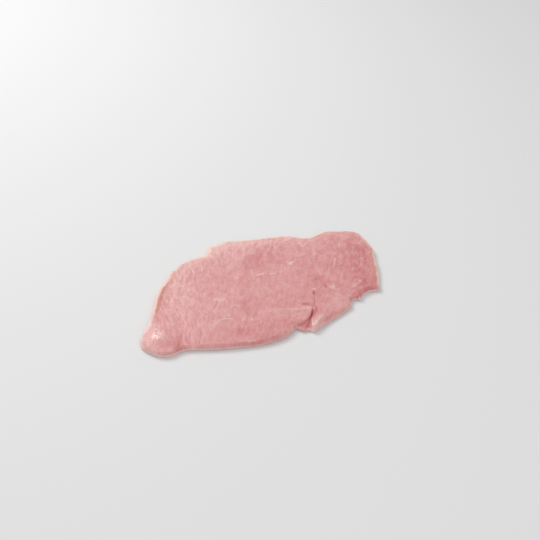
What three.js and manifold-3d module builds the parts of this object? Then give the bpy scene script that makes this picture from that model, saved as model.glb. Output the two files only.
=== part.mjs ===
// A raw veal escalope: one thin slice cut across a leg muscle, lying on its flat cut face.
// Millimetres, +Z up, +X along the slice with the narrow tip at -X, +Y towards the straighter edge
// that carries the pale skin. The origin is the middle of the face that the slice rests on.

import * as THREE from 'three';
import Module from 'manifold-3d';

// ---- driving sizes ----
const LENGTH = 197;
const WIDTH = 121;
const THICKNESS = 5;
const RIM_HEIGHT = 1.6; // where the cut edge stands out furthest
const SHOULDER = 3.2; // how far in from the edge the top rounds over
const HEEL = 1.2; // how far in the underside rounds up to the rim
const EDGE_STEP = 2.9; // spacing of the vertices along the edge
const SHOULDER_RINGS = [0.2, 0.7, 1.5, 2.7]; // rings that follow the rounding of the top, in from the edge
const HEEL_RINGS = [0.2, 0.6]; // the same below, before the flat
const BODY_RINGS = 9; // rings from the shoulder to the backbone
const BACKBONE = [new THREE.Vector2(-46, -14), new THREE.Vector2(52, 12)]; // the line they close in on
const BACKBONE_GAP = 0.07; // the last ring stops this share of the way short of it
const LEAST_SLANT = 0.5; // bounds how far a ring moves where its way in runs almost along the edge

// ---- the outline, seen from above, clockwise from the step in the skin ----
const OUTLINE = [
  // skin side, from the step to the blunt end
  [-38.8, 53.3], [-30, 57.3], [-21.5, 60.5], [-10, 58.7], [9, 59.5], [27, 59.9], [36, 57.5], [46, 54.2],
  [54, 56.8], [63, 60.4], [75, 58], [88.4, 55.8],
  // blunt end, round to its lower corner
  [94.2, 47.4], [97.2, 37.3], [98.4, 27.2], [97.8, 15.2], [96, 3.2], [93.6, -8.8], [91.3, -16.4],
  // ragged edge where the end muscle was parted
  [87.5, -17.4], [81.8, -17.2], [75.4, -21.2], [73.2, -25.1], [69.5, -24.8], [65.4, -26.2], [64, -30.2],
  // the loose flap and the mouth of the tear
  [57, -35.6], [47, -42.2], [37, -48.6], [30.2, -52.6], [26.8, -51.7], [23.3, -52.2], [17.9, -48.8],
  // long cut edge back to the tip
  [14.6, -50.8], [9.6, -54.4], [-7.7, -59.2], [-25, -59.9], [-48, -59.1], [-62, -56.6], [-69, -57.5],
  // the tip
  [-77.3, -60.4], [-84, -59.8], [-91.2, -55.4], [-97.4, -49.2], [-98, -43.3], [-95.5, -33.8],
  // thin end, up to the spur and the step
  [-88.9, -16.8], [-86.2, -5.3], [-84.2, 3.7], [-80.6, 11.2], [-75.7, 17.9], [-73.6, 23.1], [-71.6, 28.2],
  [-68.4, 29.9], [-64.4, 35.4], [-58.4, 39.9], [-50, 43.1], [-41, 46.8],
];

// ---- relief of the upper face ----
// Swells and hollows: centre, reach along and across, turn in degrees, height.
const SWELLS = [
  { at: [-86, -43], reach: [11, 15], turn: -20, height: 2.2 }, // the plump tip
  { at: [-42, 1], reach: [26, 34], turn: 0, height: 0.5 },
  { at: [-20, -45], reach: [34, 10], turn: 4, height: 0.4 },
  { at: [34, 21], reach: [18, 26], turn: -15, height: 0.5 },
  { at: [74, 13], reach: [17, 26], turn: -8, height: 0.8 }, // the round end muscle
  { at: [47, -34], reach: [16, 7], turn: 33, height: 1.1 }, // the loose flap
  { at: [-1, 28], reach: [21, 11], turn: 12, height: -0.9 }, // the sunken patch
  { at: [22.5, -49.5], reach: [4.5, 2.6], turn: -10, height: -1.9 }, // the thin ledge in the tear's mouth
];
// Seams between the muscles: the line each one follows, its half width and its height.
const SEAMS = [
  { line: [[-64, -63], [-64, -41], [-65, -21]], half: 4, height: -1 }, // behind the tip
  { line: [[-52, -61], [-38, -47]], half: 4, height: -0.4 },
  { line: [[-4, -29.5], [16, -31], [32, -32.5]], half: 2.8, height: 0.8 }, // fold towards the tear
  { line: [[-2, -24.5], [16, -26], [31, -28]], half: 2.4, height: -0.5 },
  { line: [[38, -15], [36.5, -23], [33.5, -33]], half: 2.4, height: -0.9 }, // head of the tear
  { line: [[39, -3], [46, -1], [52, -12], [59, -19], [68, -22.5], [78, -19]], half: 3, height: -0.9 },
];
// The long low waves that a limp slice keeps: wavelength, heading in degrees, phase, height.
const WAVES = [
  { length: 83, heading: 20, phase: 0.6, height: 0.35 },
  { length: 47, heading: 75, phase: 2.1, height: 0.25 },
  { length: 31, heading: -40, phase: 4.0, height: 0.18 },
];
// The tear: points down its middle, with half its width at the top and the height of its bottom.
const TEAR = [
  { at: [35, -28.3], half: 0.15, bottom: 4.7 },
  { at: [33.3, -33.3], half: 0.7, bottom: 3 },
  { at: [30.6, -40.4], half: 0.9, bottom: 1.6 },
  { at: [28, -46.3], half: 1, bottom: 1.3 },
  { at: [26.9, -57], half: 1.2, bottom: 1.3 },
];
const WEDGE_TOP = 12; // the wedge that cuts the tear ends up here, clear of the slice
const LEAST_DEPTH = 1; // bounds the lean of its sides where the tear runs out

// ---- outline ----

// The edge as points in order, with every corner of the outline among them.
function edgePoints() {
  const corners = OUTLINE.map(([x, y]) => new THREE.Vector3(x, y, 0));
  const curve = new THREE.CatmullRomCurve3(corners, true, 'centripetal');
  const points = [];
  corners.forEach((corner, i) => {
    const next = corners[(i + 1) % corners.length];
    const steps = Math.max(1, Math.round(corner.distanceTo(next) / EDGE_STEP));
    for (let k = 0; k < steps; k++) {
      const p = curve.getPoint((i + k / steps) / corners.length);
      points.push(new THREE.Vector2(p.x, p.y));
    }
  });
  return points;
}

// The outline is drawn at its true size; this brings it to exactly LENGTH by WIDTH about the origin.
function fitted(points) {
  const box = new THREE.Box2().setFromPoints(points);
  const size = box.getSize(new THREE.Vector2());
  const middle = box.getCenter(new THREE.Vector2());
  const scale = new THREE.Vector2(LENGTH / size.x, WIDTH / size.y);
  return points.map((p) => p.clone().sub(middle).multiply(scale));
}

// ---- distances ----

const nearestOnSegment = (p, a, b) => {
  const along = b.clone().sub(a);
  const share = THREE.MathUtils.clamp(p.clone().sub(a).dot(along) / along.lengthSq(), 0, 1);
  return a.clone().addScaledVector(along, share);
};

function lineDistance(p, line) {
  let nearest = Infinity;
  for (let i = 1; i < line.length; i++) {
    nearest = Math.min(nearest, nearestOnSegment(p, line[i - 1], line[i]).distanceTo(p));
  }
  return nearest;
}

// ---- heights ----

const bell = (distance) => Math.exp(-distance * distance);

function swellHeight(p, { at, reach, turn, height }) {
  const local = p.clone().sub(new THREE.Vector2(...at));
  local.rotateAround(new THREE.Vector2(), -THREE.MathUtils.degToRad(turn));
  return height * bell(Math.hypot(local.x / reach[0], local.y / reach[1]));
}

function seamHeight(p, { line, half, height }) {
  const points = line.map((q) => new THREE.Vector2(...q));
  return height * bell(lineDistance(p, points) / half);
}

function waveHeight(p, { length, heading, phase, height }) {
  const turn = THREE.MathUtils.degToRad(heading);
  const along = p.x * Math.cos(turn) + p.y * Math.sin(turn);
  return height * Math.sin((2 * Math.PI * along) / length + phase);
}

const total = (list, p, heightOf) => list.reduce((sum, item) => sum + heightOf(p, item), 0);

const faceHeight = (p) =>
  THICKNESS + total(SWELLS, p, swellHeight) + total(SEAMS, p, seamHeight) + total(WAVES, p, waveHeight);

// A quarter of an ellipse: 0 at the edge, 1 from `reach` inwards.
function rounding(distance, reach) {
  const left = 1 - Math.min(distance / reach, 1);
  return Math.sqrt(1 - left * left);
}

const topHeight = (p, distance) =>
  RIM_HEIGHT + (faceHeight(p) - RIM_HEIGHT) * rounding(distance, SHOULDER);

const undersideHeight = (p, distance) => RIM_HEIGHT * (1 - rounding(distance, HEEL));

// ---- surfaces: vertices and the triangles between them ----

const emptySurface = () => ({ positions: [], triangles: [] });

const arrays = ({ positions, triangles }) => ({
  positions: new Float32Array(positions),
  triangles: new Uint32Array(triangles),
});

// Adds one ring of vertices and says where it starts.
function addRing(surface, points, heightOf) {
  const first = surface.positions.length / 3;
  points.forEach((p) => surface.positions.push(p.x, p.y, heightOf(p)));
  return first;
}

// The outline runs clockwise from above, so a quad in this order faces down.
function addBand(surface, outer, inner, count, faceUp) {
  for (let i = 0; i < count; i++) {
    const j = (i + 1) % count;
    const quad = [outer + i, outer + j, inner + j, inner + i];
    const [a, b, c, d] = faceUp ? quad.reverse() : quad;
    surface.triangles.push(a, b, c, a, c, d);
  }
}

// The top's last ring is a long narrow loop round the backbone, laced shut from end to end.
function addLacing(surface, points, first) {
  const count = points.length;
  const direction = BACKBONE[1].clone().sub(BACKBONE[0]).normalize();
  const along = points.map((p) => p.dot(direction));
  const end = along.indexOf(Math.max(...along));
  let upper = along.indexOf(Math.min(...along));
  let lower = upper;
  while (upper !== end || lower !== end) {
    const nextUpper = (upper + 1) % count;
    const nextLower = (lower + count - 1) % count;
    const stepsUp = lower === end || (upper !== end && along[nextUpper] < along[nextLower]);
    const next = stepsUp ? nextUpper : nextLower;
    if (upper !== lower) surface.triangles.push(first + upper, first + lower, first + next);
    if (stepsUp) upper = next;
    else lower = next;
  }
}

// The flat underside needs no vertices but those of its last ring.
function addFlat(surface, points, first) {
  THREE.ShapeUtils.triangulateShape(points, []).forEach((corners) => {
    const facesUp = THREE.ShapeUtils.area(corners.map((k) => points[k])) > 0;
    const [a, b, c] = corners.map((k) => first + k);
    surface.triangles.push(...(facesUp ? [a, c, b] : [a, b, c]));
  });
}

// ---- the slice, before it is torn ----

function sliceSurface() {
  const edge = fitted(edgePoints());
  const closedEdge = [...edge, edge[0]];
  const count = edge.length;
  const targets = edge.map((p) => nearestOnSegment(p, ...BACKBONE));
  const surface = emptySurface();

  // Near the edge the rings keep their distance to it; further in they share out the way that is left.
  const insetRing = (distance) =>
    edge.map((p, i) => {
      const way = targets[i].clone().sub(p).normalize();
      const chord = edge[(i + 1) % count].clone().sub(edge[(i + count - 1) % count]).normalize();
      const slant = Math.max(Math.abs(way.cross(chord)), LEAST_SLANT);
      return p.clone().addScaledVector(way, distance / slant);
    });
  const sharedRing = (start, share) => start.map((p, i) => p.clone().lerp(targets[i], share));

  const rim = addRing(surface, edge, () => RIM_HEIGHT);
  let outer = rim;
  const closeIn = (points, heightAt, faceUp) => {
    const inner = addRing(surface, points, (p) => heightAt(p, lineDistance(p, closedEdge)));
    addBand(surface, outer, inner, count, faceUp);
    outer = inner;
  };

  SHOULDER_RINGS.forEach((distance) => closeIn(insetRing(distance), topHeight, true));
  const shoulder = insetRing(SHOULDER_RINGS.at(-1));
  for (let k = 1; k <= BODY_RINGS; k++) {
    closeIn(sharedRing(shoulder, ((1 - BACKBONE_GAP) * k) / BODY_RINGS), topHeight, true);
  }
  addLacing(surface, sharedRing(shoulder, 1 - BACKBONE_GAP), outer);

  outer = rim;
  HEEL_RINGS.forEach((distance) => closeIn(insetRing(distance), undersideHeight, false));
  closeIn(insetRing(HEEL), () => 0, false);
  addFlat(surface, insetRing(HEEL), outer);

  return arrays(surface);
}

// ---- the tear, a wedge that opens through the edge ----

function tearSurface() {
  const surface = emptySurface();
  const middle = TEAR.map(({ at }) => new THREE.Vector2(...at));
  TEAR.forEach(({ half, bottom }, i) => {
    const before = middle[Math.max(i - 1, 0)];
    const after = middle[Math.min(i + 1, TEAR.length - 1)];
    const across = after.clone().sub(before).normalize().rotateAround(new THREE.Vector2(), Math.PI / 2);
    // Its sides lean at one angle from the bottom, past the slice's face and up to the wedge's top.
    const flare = (half * (WEDGE_TOP - bottom)) / Math.max(THICKNESS - bottom, LEAST_DEPTH);
    const left = middle[i].clone().addScaledVector(across, flare);
    const right = middle[i].clone().addScaledVector(across, -flare);
    surface.positions.push(left.x, left.y, WEDGE_TOP, right.x, right.y, WEDGE_TOP);
    surface.positions.push(middle[i].x, middle[i].y, bottom);
  });
  for (let i = 1; i < TEAR.length; i++) {
    const a = 3 * (i - 1);
    const b = 3 * i;
    for (let side = 0; side < 3; side++) {
      const next = (side + 1) % 3;
      surface.triangles.push(a + side, a + next, b + next, a + side, b + next, b + side);
    }
  }
  const last = 3 * (TEAR.length - 1);
  surface.triangles.push(0, 2, 1, last, last + 1, last + 2);
  return arrays(surface);
}

// ---- assembly ----

const wasm = await Module();
wasm.setup();

const solid = ({ positions, triangles }) =>
  new wasm.Manifold(new wasm.Mesh({ numProp: 3, vertProperties: positions, triVerts: triangles }));

function meshGeometry(manifold) {
  const { vertProperties, triVerts } = manifold.getMesh();
  const geometry = new THREE.BufferGeometry();
  geometry.setAttribute('position', new THREE.BufferAttribute(vertProperties, 3));
  geometry.setIndex(new THREE.BufferAttribute(triVerts, 1));
  geometry.computeVertexNormals();
  return geometry;
}

const vealPink = new THREE.MeshStandardMaterial({ color: '#d79f9d', roughness: 0.42, metalness: 0 });
const tornSlice = solid(sliceSurface()).subtract(solid(tearSurface()));

const escalope = new THREE.Mesh(meshGeometry(tornSlice), vealPink);
escalope.name = 'escalope';

const part = new THREE.Group();
part.add(escalope);

export default part;
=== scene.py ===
"""A raw veal escalope: one thin, moist slice of leg muscle lying on its flat cut face.

The slice is drawn in millimetres, as seen from above, and turned into metres where the mesh is made.
+X runs from the plump tip to the blunt end, and +Y towards the edge that carries the pale skin.
"""

import math

import bpy
import numpy as np
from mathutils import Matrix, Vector, geometry, kdtree


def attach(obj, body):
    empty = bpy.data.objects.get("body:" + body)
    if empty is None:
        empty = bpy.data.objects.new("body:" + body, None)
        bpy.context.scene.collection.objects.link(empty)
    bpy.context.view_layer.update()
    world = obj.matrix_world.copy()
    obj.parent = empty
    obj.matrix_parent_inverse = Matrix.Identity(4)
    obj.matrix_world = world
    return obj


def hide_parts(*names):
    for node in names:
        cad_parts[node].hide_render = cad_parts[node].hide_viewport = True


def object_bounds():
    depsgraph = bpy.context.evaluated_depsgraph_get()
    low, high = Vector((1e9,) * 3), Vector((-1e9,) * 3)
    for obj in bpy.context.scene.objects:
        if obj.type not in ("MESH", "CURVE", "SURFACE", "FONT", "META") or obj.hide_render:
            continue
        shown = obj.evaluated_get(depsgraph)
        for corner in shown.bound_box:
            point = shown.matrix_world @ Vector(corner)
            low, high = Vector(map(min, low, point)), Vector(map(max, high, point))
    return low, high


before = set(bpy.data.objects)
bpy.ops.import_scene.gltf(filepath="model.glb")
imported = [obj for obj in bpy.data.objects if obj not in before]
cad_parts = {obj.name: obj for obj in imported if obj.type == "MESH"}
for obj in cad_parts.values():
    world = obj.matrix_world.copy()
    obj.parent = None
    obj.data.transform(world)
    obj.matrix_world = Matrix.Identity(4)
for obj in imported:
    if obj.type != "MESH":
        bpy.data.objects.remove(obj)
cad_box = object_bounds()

MM = 0.001

# ---------------------------------------------------------------- the slice's own sizes, in mm

LENGTH = (cad_box[1].x - cad_box[0].x) / MM
WIDTH = (cad_box[1].y - cad_box[0].y) / MM
HIGHEST = cad_box[1].z / MM
THICKNESS = 5.0
RIM_HEIGHT = 1.6  # where the cut edge stands out furthest
SHOULDER = 2.9  # how far in from the edge the top rounds over
TAPER = ((50, -37), (20, 9), 36, 2.0)  # where the loose flap thins out: centre, reach, turn, further rounding
HEEL = 1.2  # how far in the underside rounds up to the rim

# The outline, clockwise from the step in the skin.
OUTLINE = [
    # skin side, from the step to the blunt end
    (-38.8, 53.3), (-30, 57.3), (-21.5, 60.5), (-10, 58.7), (9, 59.5), (27, 59.9), (36, 57.5), (46, 54.2),
    (54, 56.8), (63, 60.4), (75, 58), (88.4, 55.8),
    # blunt end, round to its lower corner
    (94.2, 47.4), (97, 36.6), (98.4, 28.8), (97.3, 23), (96.4, 13.6), (95.2, 3.2), (93, -8), (91, -16.2),
    # ragged edge where the end muscle was parted
    (87.5, -16.6), (81.8, -17.2), (75.4, -21.2), (73.2, -25.1), (69.5, -24), (65.6, -26.4), (64.6, -31),
    # the loose flap and the mouth of the tear
    (57.4, -36.5), (47.4, -43.1), (37.4, -49.2), (30.4, -52.4), (26.8, -50.9), (23.3, -51.3), (17.9, -48.1),
    # long cut edge back to the tip
    (14.6, -50.8), (9.8, -54.8), (-7.7, -59.8), (-25, -59.9), (-48, -58.8), (-62, -56.6), (-69, -57.5),
    # the tip
    (-77.3, -60.4), (-84, -59.8), (-91.2, -55.4), (-97.4, -49.2), (-98, -43.3), (-95, -33.9),
    # thin end, up to the spur and the step
    (-91.3, -24.6), (-88.7, -16.4), (-86.2, -5.3), (-84, 3.7), (-80.6, 11.2), (-75.7, 17.9), (-73.6, 23.1),
    (-71.6, 28.2), (-68.4, 29.9), (-64.4, 35.4), (-58.4, 39.9), (-50, 43.1), (-41, 46.8),
]
# The skin runs along the outline from the tip's outer side, over the step, to the blunt end's lower corner.
SKIN_FROM = (-91.2, -55.4)
SKIN_TO = (87.5, -16.6)
SKIN_FADE = 8  # how long it takes to thin out at either end

# The tear is a slit that opens on a thin ledge. Each line follows the foot of a wall, and each of its
# corners also gives the height of the floor there and how far in from it the wall's lip rounds over.
FORK = (29.4, -42.2, 3.9, 1.7)
LEDGE_FOOT = [
    (17.8, -47.6, 3.1, 2.8), (21.2, -46.9, 3.3, 2.8), (23.9, -45.4, 3.5, 2.6), (26.7, -43.7, 3.6, 2.2), FORK,
]
SLIT_FOOT = [
    FORK, (31.0, -39.7, 4.0, 1.3), (32.2, -37.1, 3.8, 1.0), (33.1, -34.4, 4.0, 0.8), (33.8, -31.6, 5.0, 0.5),
]
FLAP_FOOT = [FORK, (29.0, -44.5, 2.7, 1.2), (28.4, -47.8, 2.6, 1.2), (28.0, -52.0, 2.4, 1.2)]
MOUTH = [(27.8, -54), (23, -54), (17.8, -50.5)]  # closes the ledge's plan outside the slice
SLIT_HALF = 0.4  # half the width of the slit's flat floor

# Swells and hollows: centre, reach along and across, turn in degrees, height.
SWELLS = [
    ((-84.5, -44), (12, 15), -20, 1.6),  # the plump tip
    ((-81, -43), (6, 7), -20, 0.8),
    ((-42, 1), (26, 34), 0, 0.5),
    ((-20, -45), (34, 10), 4, 0.4),
    ((34, 21), (18, 26), -15, 0.5),
    ((74, 13), (17, 26), -8, 0.8),  # the round end muscle
    ((47, -34), (16, 7), 33, 0.7),  # the loose flap
    ((35.5, -44.5), (7, 3.2), 50, 0.7),  # its crest
    ((-1, 28), (21, 11), 12, -0.9),  # the sunken patch
    ((36.6, -31.8), (2.0, 4.2), 0, -0.7),  # the hollow beside the tear's head
    ((38.2, -14.9), (1.0, 1.6), 0, -1.3),  # the pit above it
    ((39.2, -11.2), (2.2, 1.4), 0, 0.4),
    ((54.8, -12), (3, 4.5), 10, 0.4),
    ((71.5, -18.8), (2.4, 2), 0, 0.5),  # lumps along the ragged edge
    ((80, -14.8), (3, 2), 0, 0.4),
    ((65.5, -22.5), (2.4, 2), 0, 0.4),
    ((90, -14), (7, 9), 0, -0.7),  # the corner that droops
]
# Lines that the muscles and the tear leave in the face, with how strong each is at its corners.
FOLD = [(-8, -29, 0.0), (3, -29.4, 0.45), (12, -30.2, 0.6), (23.7, -31.3, 0.9), (33, -32.1, 0.9)]
HAIRLINE = [
    (34.5, -30.5, 1.0), (36.5, -25.8, 0.8), (37.1, -22.6, 1.0), (37.7, -19.5, 0.6), (38.0, -16.5, 1.0),
]
CREASE = [
    (25.8, -26, 0.3), (27.6, -26, 0.9), (29.4, -26.3, 1.1), (31.2, -27, 1.1), (32.4, -28.2, 0.6),
    (33.2, -29.8, 0.2),
]
END_CREASE = [(39, -1, 0.0), (42.5, 0.5, 0.9), (46.1, 1.0, 1.0), (48.5, -1.5, 0.0)]
END_SEAM = [
    (46, -4, 0.2), (49, -7.3, 0.9), (52.1, -13, 0.9), (56.1, -16.7, 0.5), (62, -19.8, 0.7), (70, -21, 1.0),
]


def scaled(line, scale):
    """The same line with the strength at its corners scaled."""
    return [(*corner[:-1], corner[-1] * scale) for corner in line]


# Seams, creases and folds: half width, then a line whose corners give the height.
SEAMS = [
    (4.5, [(-66, -63, -1.0), (-66, -46, -0.7), (-67, -25, -0.1)]),  # behind the tip
    (1.1, [(-66.5, -38, 0.0), (-66, -45, 0.25), (-64.5, -55, 0.3)]),
    (1.3, [(-62, -60, -0.35), (-61, -50, -0.25), (-60, -38, 0.0)]),
    (3.6, [(-52, -61, -0.4), (-45, -54, -0.3), (-38, -47, 0.0)]),
    (2.4, [(-50, -53, 0.1), (-43, -39, 0.3), (-33, -32, 0.35), (-22, -30, 0.0)]),
    (2.3, FOLD),
    (2.0, [(-2, -24.6, 0.0), (12, -25.4, -0.3), (27, -27, -0.4)]),
    (0.8, scaled(CREASE, -0.7)),
    (0.55, scaled(HAIRLINE, -0.5)),
    (1.2, scaled(END_CREASE, -0.5)),
    (1.9, scaled(END_SEAM, -0.7)),
    (1.6, [(54, 4, 0.0), (51.8, -5, 0.4), (54.2, -13, 0.4), (60, -17, 0.0)]),
    (4.0, [(37, -47, -0.3), (43, -42, -1.2), (52, -36, -1.3), (60, -30, -0.4)]),  # the flap's thin side
    (1.3, [(-72.4, -58, -0.4), (-70, -54.4, -0.4), (-68.5, -46, 0.0)]),  # nicks behind the tip
    (0.5, [(-64.7, -20.4, 0.0), (-65.1, -33.7, -0.25), (-66.7, -44, -0.2), (-66.5, -50, 0.0)]),
    (0.5, [(-53.7, -46, 0.0), (-54.7, -53.8, -0.35), (-55, -58, -0.35)]),
    (1.1, [(67.4, -18, -0.3), (69.5, -15.2, -0.4), (72.5, -13.9, -0.1), (76, -12, -0.4), (79, -12.8, 0.0)]),
    (0.9, [(79.5, -4, 0.0), (81.6, -7, -0.3), (83.4, -10, -0.4), (83, -14, -0.2)]),
    (0.8, [(75.4, -18.5, -0.4), (76, -15, -0.4), (77, -12.4, 0.0)]),
]
# The long low waves that a limp slice keeps: wavelength, heading in degrees, phase, height.
WAVES = [
    (83, 20, 0.6, 0.35),
    (47, 75, 2.1, 0.25),
    (31, -40, 4.0, 0.18),
]

# The muscle fibres fan out from a point far off on the side of the cut edge.
GRAIN_FOCUS = (-61, -244)

# Unevenness comes in layers of noise: strength, the size of a bump in mm (or one for each way), seed.
FIBRE_WANDER = [(3.0, (17, 20), 11), (1.0, (6, 8), 12)]
BUNDLES = [(0.09, (2.2, 6), 21), (0.06, (1.4, 3.2), 22)]
DIMPLES = [(0.14, (9, 7), 23), (0.08, 2.8, 24), (0.04, 1.4, 25)]
TIP_GRAINS = [(0.18, 1.9, 26)]
LEDGE_GRAINS = [(0.12, 1.6, 31)]
SHOULDER_SWAY = [(0.8, 11, 32)]
KNIFE_NICKS = [(0.16, (2.4, 1), 41), (0.2, (6.5, 1), 42)]

# ---------------------------------------------------------------- how finely all is drawn, in mm

EDGE_STEP = 0.55
FACE_STEP = 0.58
FINE_STEP = 0.34  # near the tear
FINE_REACH = 3.2
HAIRLINE_STEP = 0.3
HAIRLINE_REACH = 1.6
UNDERSIDE_STEP = 1.7
SHOULDER_RINGS = (0.06, 0.22, 0.5, 0.9)
HEEL_RINGS = (0.1, 0.35, 0.75, HEEL)
WALL_RINGS = (0, 0.05, 0.16, 0.34, 0.6)  # outwards from the slit's floor, over the tear's walls
TEAR_RINGS = (SLIT_HALF / 2, *(SLIT_HALF + distance for distance in WALL_RINGS))
RING_KEEPS = 0.93  # the least share of its distance that a ring's point keeps from every line
CLEAR_OF_RINGS = 0.35  # the lattice keeps this far from the last ring
TEAR_FROM_EDGE = 0.4  # the tear's own corners start this far in from the edge
LATTICE_SHAKE = 0.12  # how far its points are moved at random, as a share of its step
FACE_SEED, FINE_SEED, UNDERSIDE_SEED = 51, 52, 53
FINER = 3  # a line to measure from is drawn this many times finer than the mesh
LEDGE_PLAN_STEP = 0.2
MARK_STEP = 0.8  # for marks along a line
CURVE_SAMPLES = 40  # worked out between two given points of a curve
SNAP = 1e-6  # corners nearer than this are one


# ---------------------------------------------------------------- curves and distances

def smooth_line(points, step, closed=False):
    """Evenly spaced points on a centripetal Catmull-Rom curve.

    Values that follow x and y go along with them.
    """
    given = np.array(points, float)
    if closed:
        padded = np.vstack([given[-1], given, given[:2]])
    else:
        padded = np.vstack([2 * given[0] - given[1], given, 2 * given[-1] - given[-2]])
    dense = []
    for p0, p1, p2, p3 in zip(padded, padded[1:], padded[2:], padded[3:]):
        t0 = 0.0  # the knots lie as far apart as the root of the distance between the points
        t1 = t0 + math.sqrt(np.linalg.norm((p1 - p0)[:2]))
        t2 = t1 + math.sqrt(np.linalg.norm((p2 - p1)[:2]))
        t3 = t2 + math.sqrt(np.linalg.norm((p3 - p2)[:2]))
        t = np.linspace(t1, t2, CURVE_SAMPLES, endpoint=False)[:, None]
        a1 = (t1 - t) / (t1 - t0) * p0 + (t - t0) / (t1 - t0) * p1
        a2 = (t2 - t) / (t2 - t1) * p1 + (t - t1) / (t2 - t1) * p2
        a3 = (t3 - t) / (t3 - t2) * p2 + (t - t2) / (t3 - t2) * p3
        b1 = (t2 - t) / (t2 - t0) * a1 + (t - t0) / (t2 - t0) * a2
        b2 = (t3 - t) / (t3 - t1) * a2 + (t - t1) / (t3 - t1) * a3
        dense.append((t2 - t) / (t2 - t1) * b1 + (t - t1) / (t2 - t1) * b2)
    dense.append(given[:1] if closed else given[-1:])
    dense = np.vstack(dense)
    run = np.concatenate([[0], np.cumsum(np.linalg.norm(np.diff(dense[:, :2], axis=0), axis=1))])
    count = max(2, round(run[-1] / step))
    places = np.linspace(0, run[-1], count, endpoint=not closed)
    return np.column_stack([np.interp(places, run, column) for column in dense.T])


def nearest(points, line):
    """For each point, the distance to the nearest point of a finely drawn line, and that point's number."""
    tree = kdtree.KDTree(len(line))
    for i, (x, y) in enumerate(line[:, :2]):
        tree.insert((x, y, 0), i)
    tree.balance()
    found = [tree.find((x, y, 0)) for x, y in points]
    return np.array([distance for _, _, distance in found]), np.array([number for _, number, _ in found])


def inside(points, loop):
    """Which points lie inside a closed loop, by counting the edges to their right."""
    x, y = points[:, 0], points[:, 1]
    hit = np.zeros(len(points), bool)
    for (x0, y0), (x1, y1) in zip(loop, np.roll(loop, -1, axis=0)):
        if y0 != y1:
            crosses = ((y0 > y) != (y1 > y)) & (x < (x1 - x0) * (y - y0) / (y1 - y0) + x0)
            hit ^= crosses
    return hit


def normals(line, closed):
    """Unit normals of a line, to the left of the way it runs."""
    if closed:
        way = np.roll(line, -1, axis=0) - np.roll(line, 1, axis=0)
    else:
        way = np.gradient(line, axis=0)
    way /= np.linalg.norm(way, axis=1)[:, None]
    return np.column_stack([-way[:, 1], way[:, 0]])


# ---------------------------------------------------------------- soft shapes and noise

BELL_REACH = 3  # a bell has died away this many half widths out
NOISE_CELLS = 128  # noise repeats after this many


def bell(distance):
    return np.exp(-distance * distance)


def fade(value, none, full):
    """Rises smoothly from 0 to 1 as the value goes from one bound to the other."""
    share = np.clip((value - none) / (full - none), 0, 1)
    return share * share * (3 - 2 * share)


def swell(points, at, reach, turn, height):
    """A round or oval mound."""
    turn = math.radians(turn)
    x, y = points[:, 0] - at[0], points[:, 1] - at[1]
    along = x * math.cos(turn) + y * math.sin(turn)
    across = y * math.cos(turn) - x * math.sin(turn)
    return height * bell(np.hypot(along / reach[0], across / reach[1]))


def stretch(points, x_bounds, y_bounds, height):
    """A band that rises from none to full between two bounds along x, along y, or along both."""
    for place, bounds in zip(points.T, (x_bounds, y_bounds)):
        if bounds:
            height = height * fade(place, *bounds)
    return height


def amount(points, base, swells, stretches=()):
    """A base value with more or less of it in some places."""
    values = np.full(len(points), float(base))
    for form in swells:
        values += swell(points, *form)
    for form in stretches:
        values += stretch(points, *form)
    return values


def trace(points, half, line):
    """A soft mark along a line, as strong as the line's corners say and fading to either side."""
    drawn = smooth_line(line, MARK_STEP)
    reach = BELL_REACH * half
    close = (points > drawn[:, :2].min(0) - reach) & (points < drawn[:, :2].max(0) + reach)
    close = np.flatnonzero(close.all(axis=1))
    near = points[close]
    best, strength = np.full(len(near), np.inf), np.zeros(len(near))
    for a, b in zip(drawn, drawn[1:]):
        along = (b - a)[:2]
        share = np.clip((near - a[:2]) @ along / (along @ along), 0, 1)
        distance = np.linalg.norm(near - a[:2] - share[:, None] * along, axis=1)
        strength = np.where(distance < best, a[2] + share * (b - a)[2], strength)
        best = np.minimum(best, distance)
    mark = np.zeros(len(points))
    mark[close] = strength * bell(best / half)
    return mark


def marked(points, share, marks):
    """The share, raised to the strength of each mark where that is more."""
    for half, line in marks:
        share = np.maximum(share, trace(points, half, line))
    return share


def noise(x, y, cell, seed):
    """Smooth random heights from -1 to 1, one bump to a cell. A cell has one size, or one for each way."""
    grid = np.random.default_rng(seed).uniform(-1, 1, (NOISE_CELLS, NOISE_CELLS))
    across, along = np.broadcast_to(cell, 2)
    gx, gy = x / across, y / along
    ix, iy = np.floor(gx).astype(int), np.floor(gy).astype(int)
    # Eased from 0 to 1, so that slope and curvature meet from cell to cell.
    fx, fy = (f * f * f * (f * (6 * f - 15) + 10) for f in (gx - ix, gy - iy))

    def corner(dx, dy):
        return grid[(ix + dx) % NOISE_CELLS, (iy + dy) % NOISE_CELLS]

    low = corner(0, 0) * (1 - fx) + corner(1, 0) * fx
    high = corner(0, 1) * (1 - fx) + corner(1, 1) * fx
    return low * (1 - fy) + high * fy


def uneven(x, y, layers):
    """Layers of noise, added up."""
    return sum(strength * noise(x, y, cell, seed) for strength, cell, seed in layers)


def grain(points):
    """Distances across and along the fan of muscle fibres, with the fibres wandering a little."""
    x, y = points[:, 0] - GRAIN_FOCUS[0], points[:, 1] - GRAIN_FOCUS[1]
    along = np.hypot(x, y)
    across = np.arctan2(x, y) * abs(GRAIN_FOCUS[1])
    return across + uneven(across, along, FIBRE_WANDER), along


# ---------------------------------------------------------------- heights

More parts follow.
